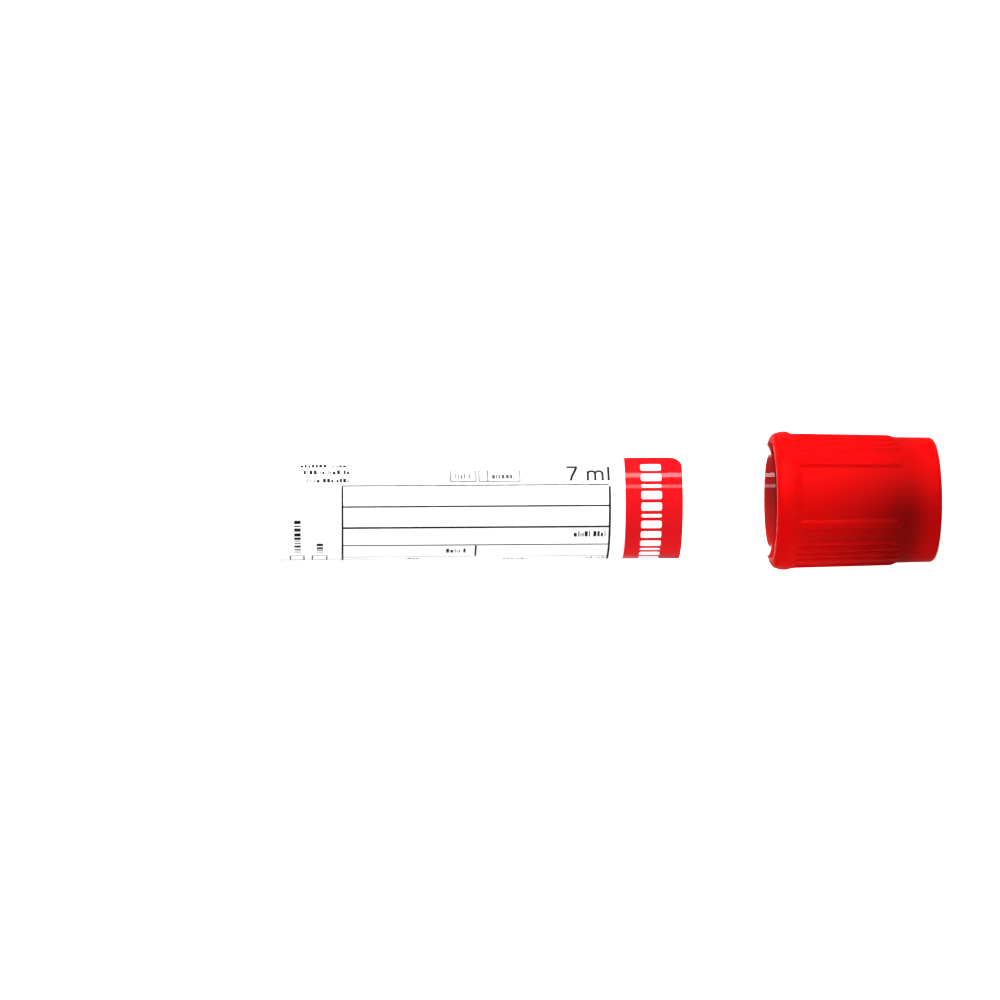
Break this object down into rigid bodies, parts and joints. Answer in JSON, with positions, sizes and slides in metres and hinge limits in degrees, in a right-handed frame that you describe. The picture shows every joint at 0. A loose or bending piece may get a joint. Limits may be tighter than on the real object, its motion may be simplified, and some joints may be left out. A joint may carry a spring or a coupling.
{
  "type": "blood collection tube",
  "caption": "Clear round-bottom blood collection tube with a wrap-round label and a ribbed red pull-off safety closure over its rubber stopper.",
  "frame": {"origin": "centre of the closure's flat top ring, on the surface that the tube stands on", "axes": "+Z runs along the tube's axis from the closure to the round end; -Y is the front of the closure and the label; +X is towards the label's first edge"},
  "size_m": [0.016, 0.016, 0.1066],
  "materials": {
    "red_plastic": "satin",
    "stopper_rubber": "matte",
    "clear_plastic": "gloss",
    "label_film": "satin"
  },
  "bodies": {
    "closure": {"safety_cap": "red_plastic", "rubber_stopper": "stopper_rubber"},
    "labelled_tube": {"tube": "clear_plastic", "label": "label_film"}
  },
  "joints": [
    {"name": "closure_pull_off", "type": "slide", "parent": "closure", "child": "labelled_tube", "axis": [0, 0, 1], "range_m": [0, 0.025]}
  ]
}
